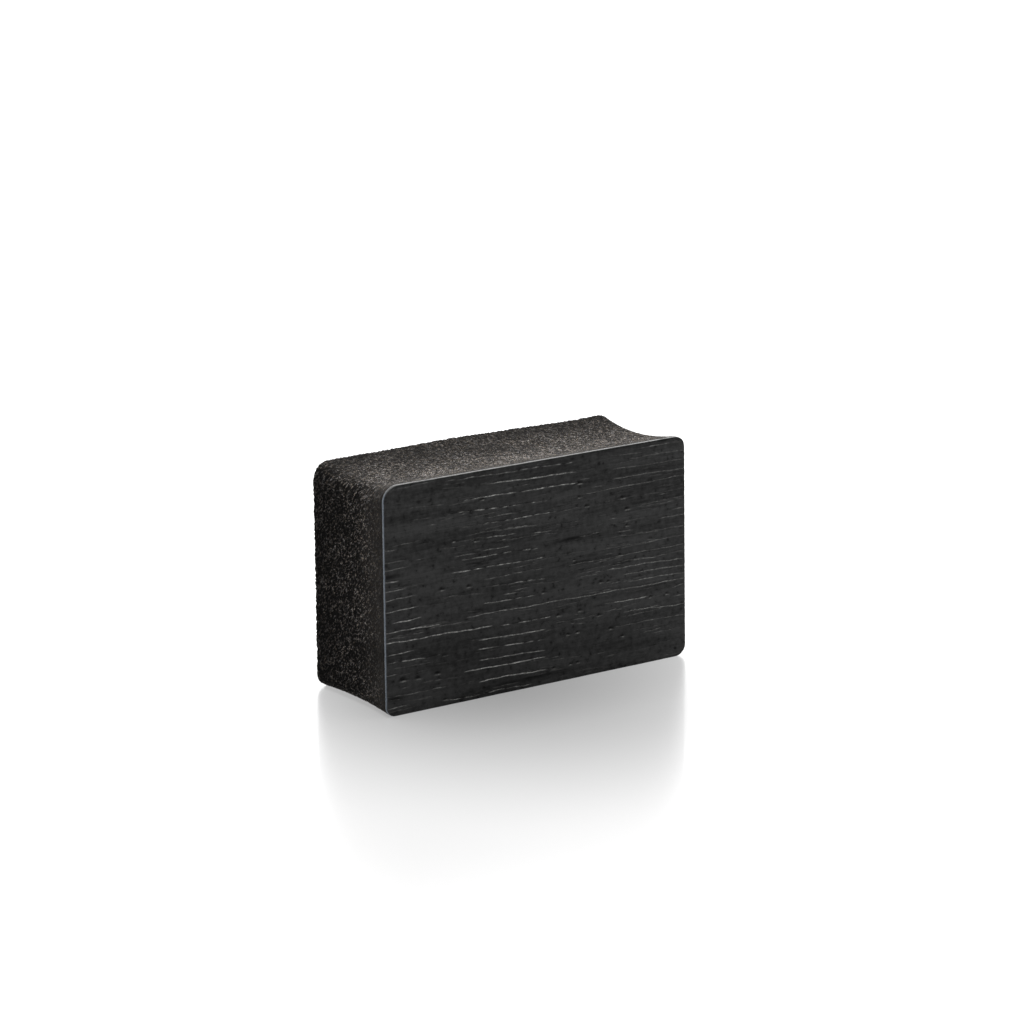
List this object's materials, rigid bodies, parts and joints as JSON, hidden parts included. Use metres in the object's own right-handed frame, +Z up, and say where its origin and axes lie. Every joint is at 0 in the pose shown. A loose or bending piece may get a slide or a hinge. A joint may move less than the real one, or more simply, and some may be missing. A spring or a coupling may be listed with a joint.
{
  "type": "foam hand block",
  "caption": "Rounded rectangular foam hand block with slightly hollow cut sides and a thin creased rubber facing bonded to one large flat face.",
  "frame": {"origin": "middle of the footprint, on the surface that the block stands on", "axes": "+X along the length, +Y through the thickness from the rubber-faced side to the plain foam side, +Z up through the height"},
  "size_m": [0.09, 0.032, 0.0576],
  "materials": {
    "foam": "open-cell polyurethane foam, fine pores, dead matt, charcoal black",
    "adhesive": "dull adhesive film, dark grey",
    "facing": "satin black synthetic rubber, finely creased along the length"
  },
  "bodies": {
    "root": {"foam_block": "foam", "bond_film": "adhesive", "rubber_facing": "facing"}
  },
  "joints": []
}
